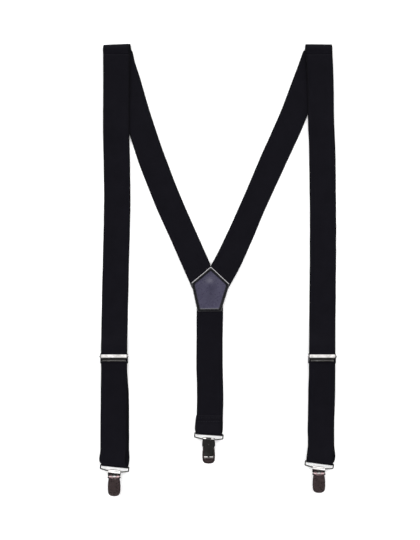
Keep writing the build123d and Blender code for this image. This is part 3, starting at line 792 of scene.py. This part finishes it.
def leather_patch():
    """The patch's two leather faces, each with a bevelled rim and a pressed panel."""
    corners = list(PATCH.values())
    for name, node, base, up in (("leather_inner", "patch_inner_leather", LEATHER + WEB_THICK, 1),
                                 ("leather_outer", "patch_outer_leather", LEATHER, -1)):
        loops, panel, edge_highlight = [], [], []
        for distance, height, share in PATCH_RINGS:
            ring = rounded(inset(corners, distance), PATCH_CORNER_RADIUS)
            loops.append([(p.x, p.y, base + up * height) for p in ring])
            panel += [share] * len(ring)
            # painted highlight on the raw edge, as strong as the ring faces the head of the layout
            edge_highlight += headward(ring)
        edge = loops[-1]
        middle = sum((Vector(p[:2]) for p in edge), Vector((0, 0))) / len(edge)
        for scale in PATCH_SCALES:
            ring = [middle.lerp(Vector(p[:2]), scale) for p in edge]
            full = (1 - scale ** 2) * PATCH_DOME + PATCH_RINGS[-1][1]
            loops.append([(p.x, p.y, base + (full + swelling(p) if up > 0 else -full)) for p in ring])
            panel += [1] * len(ring)
            edge_highlight += [0] * len(ring)
        if up < 0:
            loops = [list(reversed(loop)) for loop in loops]
        patch = lofted(name, loops)
        # the last two points are the ends' middles: the raw underside's and the panel's
        for label, shares in (("panel", panel + [0, 1]), ("edge_highlight", edge_highlight + [0, 0])):
            patch.data.attributes.new(label, "FLOAT", "POINT").data.foreach_set("value", shares)
        patch.data.materials.append(LEATHER_LOOK)
        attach(patch, "back")
        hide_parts(node)
    seam = inset(corners, SEAM_INSET)
    rows = list(zip(seam, seam[1:] + seam[:1]))
    stitching("thread_patch", rows, LEATHER * 2 + WEB_THICK - SEAM_SINK, "back", "patch_stitching")


# ================================================================ stitching

STITCH_PITCH = 3.2
STITCH_LENGTH = 2.3
STITCH_LIFT = 0.12
STITCH_SIDES = 8
# a stitch's rings: share of its length from its middle, height, thread radius
STITCH_RINGS = [
    (-0.5, -0.16, 0.12), (-0.42, -0.02, 0.2), (-0.2, 0.1, 0.25), (0.2, 0.1, 0.25), (0.42, -0.02, 0.2),
    (0.5, -0.16, 0.12),
]
# the rows across a turned-back end: half length, and how far each row is above the bar or the sewn end
ROW_HALF = 15
CENTRE_ROWS = (16, 21)
STRAP_END_ROWS = (2.5, 8)


def stitch(middle, along, z):
    """One stitch: a short rounded thread that dips at both ends."""
    across = Vector((-along.y, along.x))
    loops = []
    for place, lift, radius in STITCH_RINGS:
        loop = []
        for k in range(STITCH_SIDES):
            angle = 2 * pi * k / STITCH_SIDES
            spot = middle + along * place * STITCH_LENGTH + across * cos(angle) * radius
            loop.append((spot.x, spot.y, z + STITCH_LIFT + lift + sin(angle) * radius))
        loops.append(loop)
    return loop_part(loops)


def stitching(name, rows, z, body, node):
    """Rows of separate stitches over a surface at height z."""
    parts = []
    for start, end in rows:
        start, end = Vector(start), Vector(end)
        run = end - start
        count = int(run.length // STITCH_PITCH)
        for index in range(count):
            parts.append(stitch(start + run * ((index + 0.5) / count), run.normalized(), z))
    thread = join_meshes(name, parts)
    thread.data.materials.append(THREAD)
    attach(thread, body)
    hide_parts(node)


def end_rows(x, y, heights):
    """The two rows of stitches across a turned-back strap end."""
    return [((x - ROW_HALF, y + up), (x + ROW_HALF, y + up)) for up in heights]


def strap_stitching():
    """The stitches in the centre strap's end and in the two ends behind the adjusters."""
    rows = end_rows(*LOOP_PLACE["centre"], CENTRE_ROWS)
    stitching("thread_centre", rows, 2.45, "back", "centre_strap_stitching")
    for side in ("left", "right"):
        rows = end_rows(ADJUSTER_X[side], ADJUSTER_Y - RAIL_TURN[-1][0], STRAP_END_ROWS)
        stitching("thread_strap_end_" + side, rows, 2.42, "adjuster_" + side, "strap_end_stitching_" + side)


# ================================================================ metal

# a face with more area than this times its perimeter is a flat one, not a strip of a bend
FLAT_BREADTH = 0.75


def softened(node, name, material, width):
    """A copy of a steel CAD node with its sharp edges rounded, as pressing and plating leave them."""
    source = NODES[node]
    thing = add_object(name, source.data.copy())
    work = bmesh.new()
    work.from_mesh(thing.data)
    bmesh.ops.remove_doubles(work, verts=work.verts[:], dist=1e-6)
    bmesh.ops.recalc_face_normals(work, faces=work.faces[:])
    bmesh.ops.dissolve_limit(work, angle_limit=radians(0.5), verts=work.verts[:], edges=work.edges[:])
    sharp = [e for e in work.edges if len(e.link_faces) == 2 and e.calc_face_angle(0) > radians(35)]
    bmesh.ops.bevel(work, geom=sharp, offset=width * MM, offset_type="OFFSET", segments=2, profile=0.6,
                    affect="EDGES", clamp_overlap=True)
    curved = [face.calc_area() < FLAT_BREADTH * MM * face.calc_perimeter() for face in work.faces]
    work.to_mesh(thing.data)
    work.free()
    thing.data.materials.clear()
    thing.data.materials.append(material)
    thing.data.set_sharp_from_angle(angle=radians(32))
    thing.data.polygons.foreach_set("use_smooth", curved)
    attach(thing, source["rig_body"])
    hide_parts(node)


def keep(node, material):
    """A CAD node whose shape is right, with a better material."""
    thing = NODES[node]
    thing.data.materials.clear()
    thing.data.materials.append(material)
    thing.data.polygons.foreach_set("use_smooth", [True] * len(thing.data.polygons))
    thing.data.set_sharp_from_angle(angle=radians(30))


def section_bar(section, half, chamfer):
    """A bar along X with a rounded (y, z) section, eased at both ends."""
    middle = sum((Vector(p) for p in section), Vector((0, 0))) / len(section)
    loops = []
    for x, scale in ((-half, 0.0), (-half + chamfer, 1.0), (half - chamfer, 1.0), (half, 0.0)):
        edge = chamfer * 0.6 * (1 - scale)
        ring = []
        for p in section:
            inward = (middle - Vector(p)).normalized() * edge
            ring.append((x, p[0] + inward.x, p[1] + inward.y))
        loops.append(ring)
    return loop_part(loops)


def slab(section, start, end, ease=0.0):
    """A solid of one (y, z) section along X, with a further row of points this far in from each end."""
    stations = (start, start + ease, end - ease, end) if ease else (start, end)
    return loop_part([[(x, p[0], p[1]) for p in section] for x in stations])


def turned(start, end, profile, centre, sides=32):
    """A solid turned about a line along X, with the same (distance in, radius) profile at both ends."""
    stations = [(start + inward, radius) for inward, radius in profile]
    stations += [(end - inward, radius) for inward, radius in reversed(profile)]
    angles = [2 * pi * k / sides for k in range(sides)]
    y, z = centre
    return loop_part([[(x, y + radius * cos(angle), z + radius * sin(angle)) for angle in angles]
                      for x, radius in stations])


def place_piece(name, parts, matrix, sharp, material, body, node):
    """A piece made of closed parts, moved to its place. Edges sharper than an angle in degrees stay crisp."""
    thing = join_meshes(name, parts)
    thing.data.transform(matrix)
    thing.data.set_sharp_from_angle(angle=radians(sharp))
    thing.data.materials.append(material)
    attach(thing, body)
    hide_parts(node)
    return thing


def smooth_section(points, rounds=2):
    """A closed section with its corners cut smooth."""
    ring = [Vector(p) for p in points]
    for _ in range(rounds):
        cut = []
        for index, p in enumerate(ring):
            q = ring[(index + 1) % len(ring)]
            cut += [p.lerp(q, 0.22), p.lerp(q, 0.78)]
        ring = cut
    return [tuple(p) for p in ring]


# the adjuster's pivot, and the half lengths of its lever and of the lip behind it
PIVOT_Z = 6.6
BAR_HALF = 17.1
FLANGE_HALF = 15.5
# the lever's crown, the lip behind it and the web under it, as (y, z) outlines round the pivot's line
CROWN = [
    (2.5, 7.42), (2.35, 7.6), (1.6, 7.79), (0.6, 8.0), (-0.4, 8.2), (-1.4, 8.4), (-2.1, 8.44), (-2.4, 8.15),
    (-2.3, 7.5), (-1.9, 7.3), (-1.6, 7.45), (-1.2, 7.62), (-0.4, 7.6), (0.6, 7.45), (1.4, 7.3), (1.95, 7.22),
    (2.35, 7.35),
]
LIP = [
    (-1.6, 7.25), (-2.9, 7.1), (-5.2, 6.75), (-6.3, 6.95), (-6.6, 6.7), (-6.5, 6.1), (-5.7, 5.9), (-2.9, 6.3),
    (-1.6, 6.45),
]
WEB_SECTION = [(-0.4, 6.9), (0.5, 6.9), (0.5, 7.7), (-0.4, 7.8)]
TOOTH_SECTION = [(-0.45, 5.9), (0.45, 5.9), (0.16, 5.27), (-0.16, 5.27)]
TOOTH_COUNT = 11
TOOTH_HALF = 0.75
# how far the web and the teeth stop short of the lever's ends
WEB_INSET, TOOTH_INSET = 1.5, 1.6
# the ends of the lever's barrel and of the pin, as (distance in, radius)
BARREL_END = [(0.1, 0.95), (0.3, 1.15)]
PIN_HALF = 19.75
PIN_END = [(0, 0.45), (0.12, 0.8), (0.4, 1.05), (0.8, 1.1), (0.9, 0.98), (0.9, 0.7)]


def adjusters():
    """The adjusters' levers, frames and pins."""
    pivot = (0, PIVOT_Z)
    for side in ("left", "right"):
        place = Matrix.Translation(Vector((ADJUSTER_X[side], ADJUSTER_Y, 0)) * MM)
        parts = [
            section_bar(smooth_section(CROWN), BAR_HALF, 0.3),
            section_bar(smooth_section(LIP), FLANGE_HALF, 0.5),
            turned(-BAR_HALF, BAR_HALF, BARREL_END, pivot),
            section_bar(smooth_section(WEB_SECTION, 1), BAR_HALF - WEB_INSET, 0.25),
        ]
        for index in range(TOOTH_COUNT):
            middle = (index / (TOOTH_COUNT - 1) * 2 - 1) * (BAR_HALF - TOOTH_INSET)
            parts.append(slab(smooth_section(TOOTH_SECTION, 1), middle - TOOTH_HALF, middle + TOOTH_HALF))
        lever = "adjuster_lever_" + side
        place_piece("lever_adjuster_" + side, parts, place, 40, NICKEL, lever, lever)
        softened("adjuster_frame_" + side, "frame_adjuster_" + side, NICKEL, 0.12)
        pin = turned(-PIN_HALF, PIN_HALF, PIN_END, pivot, 24)
        place_piece("pin_adjuster_" + side, [pin], place, 50, PIN_STEEL, "adjuster_" + side,
                    "adjuster_pin_" + side)


# ================================================================ clips

# a clip's own frame starts on its loop's lower bar, this far below the bar that the webbing turns round
LOOP_DROP = 7.6
CLIP_PIVOT = (-7.5, 0.6)
# the lever: its outline's right half, the height and radius of its crown, and the middle of its face
LEVER_EDGE = [
    (7.2, -7.5), (7.5, -9.8), (8.1, -14.0), (8.5, -20.0), (8.4, -25.5), (7.8, -29.2), (6.4, -31.4),
    (4.0, -32.7), (0, -33.2),
]
LEVER_STEP = 0.9
LEVER_TOP = 2.9
LEVER_CROWN_RADIUS = 58.0
LEVER_MIDDLE = -20.0
# distance in from the lever's edge, height above its crowned upper face
LEVER_RINGS = [
    (3.0, -0.8), (0.12, -0.8), (0.0, -0.68), (0.0, -0.28), (0.08, -0.1), (0.25, -0.01), (0.4, 0.0), (1.1, 0.0),
    (1.25, 0.005), (1.4, 0.035), (1.55, 0.045), (1.7, 0.035), (1.85, 0.005), (2.0, 0.0), (2.3, 0.0), (3.0, 0.0),
]
# inside them, how far each further ring is drawn in towards the middle of the face
LEVER_SCALES = (0.7, 0.4, 0.12)
# painted shade along the lever's border: full out to the first distance, half to the second
RIM_FULL, RIM_HALF = 1.0, 1.2
# the two knuckles on the pin: where each starts and ends, the profile there, and its web to the lever
KNUCKLES = ((-7.2, -2.8), (2.8, 7.2))
KNUCKLE_END = [(0, 1.2), (0.12, 1.55), (0.35, 1.7)]
BRIDGE = [(-1.6, 1.3), (0.55, 2.1), (0.2, 2.45), (-1.6, 2.55)]
BRIDGE_INSET = 0.2
# the ribbed pads on both jaws
PAD_TOP, PAD_BOTTOM, PAD_HALF = -14.0, -21.8, 5.6
PAD_RIBS = 7
PAD_VALLEY, PAD_RIDGE = 0.45, 0.78
PAD_EASE = 0.2


def clip_matrix(side):
    """Where a clip's own frame lies: its origin is on the loop's lower bar."""
    x, y = LOOP_PLACE[side]
    tilt = radians(LOOP_TILT[side])
    bar = Vector((x + LOOP_DROP * sin(tilt), y - LOOP_DROP * cos(tilt), BAR_Z)) * MM
    turn = Matrix.Rotation(pi if side == "centre" else 0, 4, "Y")
    return Matrix.Translation(bar) @ turn


def crown_point(x, y, lift):
    """A point of the lever, at a height above its crowned upper face."""
    return x, y, LEVER_TOP - x ** 2 / (2 * LEVER_CROWN_RADIUS) + lift


def lever_loop(distance, lift):
    """One ring of the lever, in from its edge, on its crown."""
    half = [p[:2] for p in spline([(x, y, 0) for x, y in LEVER_EDGE], LEVER_STEP)]
    edge = half + [(-x, y) for x, y in reversed(half[:-1])]
    ring = []
    for index, (x, y) in enumerate(edge):
        x0, y0 = edge[max(index - 1, 0)]
        x1, y1 = edge[min(index + 1, len(edge) - 1)]
        along = Vector((x1 - x0, y1 - y0)).normalized()
        inward = Vector((along.y, -along.x))
        spot = Vector((x, y)) + inward * distance
        spot.y = min(spot.y, LEVER_EDGE[0][1] - distance * (0.2 if index else 0.25))
        spot.x = max(abs(spot.x), 0.15 * abs(x)) * (1 if x >= 0 else -1) if x else 0.0
        ring.append(crown_point(spot.x, spot.y, lift))
    return list(reversed(ring))


def shrunk(ring, scale, lift):
    """A ring of the lever drawn in towards the middle of its face, on its crown."""
    return [crown_point(x * scale, LEVER_MIDDLE + (y - LEVER_MIDDLE) * scale, lift) for x, y, _ in ring]


def clip_levers():
    """The crowned levers with their beaded borders and rolled knuckles."""
    bridge = smooth_section([(CLIP_PIVOT[0] + y, z) for y, z in BRIDGE], 1)
    for side in ("left", "right", "centre"):
        rings = [lever_loop(distance, lift) for distance, lift in LEVER_RINGS]
        under = [shrunk(rings[0], scale, LEVER_RINGS[0][1]) for scale in reversed(LEVER_SCALES)]
        face = [shrunk(rings[-1], scale, LEVER_RINGS[-1][1]) for scale in LEVER_SCALES]
        parts = [loop_part(under + rings + face)]
        for start, end in KNUCKLES:
            parts.append(turned(start, end, KNUCKLE_END, CLIP_PIVOT))
            parts.append(slab(bridge, start + BRIDGE_INSET, end - BRIDGE_INSET))
        body = "clip_lever_" + side
        lever = place_piece("lever_clip_" + side, parts, clip_matrix(side), 38, DARK_NICKEL,
                            body, body)
        # the painted shade on the lever's border, stored as its rim attribute
        border = [1.0 if distance < RIM_FULL else (0.5 if distance < RIM_HALF else 0.0)
                  for distance, _ in LEVER_RINGS]
        rim = [share for share in [0.0] * len(under) + border for _ in rings[0]]
        rim += [0.0] * (len(lever.data.vertices) - len(rim))
        lever.data.attributes.new("rim", "FLOAT", "POINT").data.foreach_set("value", rim)


def ribbed_pad(name, side, node, z, up):
    """A grip pad with ribs across it, its back against a jaw."""
    outline = [(PAD_BOTTOM, z)]
    pitch = (PAD_TOP - PAD_BOTTOM) / PAD_RIBS
    for index in range(PAD_RIBS):
        y = PAD_BOTTOM + index * pitch
        outline += [(y + 0.08, z + up * PAD_VALLEY), (y + pitch * 0.3, z + up * PAD_RIDGE),
                    (y + pitch * 0.7, z + up * PAD_RIDGE), (y + pitch - 0.08, z + up * PAD_VALLEY)]
    outline += [(PAD_TOP, z)]
    pad = slab(smooth_section(outline, 1), -PAD_HALF, PAD_HALF, PAD_EASE)
    place_piece(name, [pad], clip_matrix(side), 45, RUBBER, NODES[node]["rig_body"], node)


def clips():
    """Everything on the clips but the levers."""
    for side in ("left", "right", "centre"):
        softened("clip_body_" + side, "bracket_clip_" + side, NICKEL, 0.12)
        softened("front_jaw_" + side, "jaw_clip_" + side, NICKEL, 0.12)
        ribbed_pad("grip_rear_" + side, side, "rear_jaw_pad_" + side, -1.5, 1)
        ribbed_pad("grip_front_" + side, side, "front_jaw_pad_" + side, 0.4, -1)
        softened("pivot_pin_" + side, "pin_clip_" + side, PIN_STEEL, 0.1)
        keep("wire_loop_" + side, SHADED_WIRE_NICKEL)


# ================================================================ the scene

make_camera()
make_light()
make_floor()
WEBBING = webbing_material()
THREAD = thread_material()
LEATHER_LOOK = leather_material()
NICKEL = metal_material("clip_nickel", (0.80, 0.78, 0.77), (0.44, 0.425, 0.42), 0.12, 0.17)
DARK_NICKEL = metal_material("lever_nickel", (0.52, 0.38, 0.39), (0.42, 0.305, 0.315), 0.26, 0.32)
# painted shade: the wire's nickel is darkened to stand in for the dark reflections along its edges
SHADED_WIRE_NICKEL = metal_material("wire_nickel", (0.18, 0.175, 0.17), (0.11, 0.107, 0.105), 0.08, 0.14)
PIN_STEEL = metal_material("pin_steel", (0.50, 0.49, 0.49), (0.32, 0.31, 0.31), 0.28, 0.42)
RUBBER = rubber_material()
LENGTHS = back_straps()
front_straps(LENGTHS)
lower_straps(LENGTHS)
centre_strap()
leather_patch()
strap_stitching()
adjusters()
clip_levers()
clips()
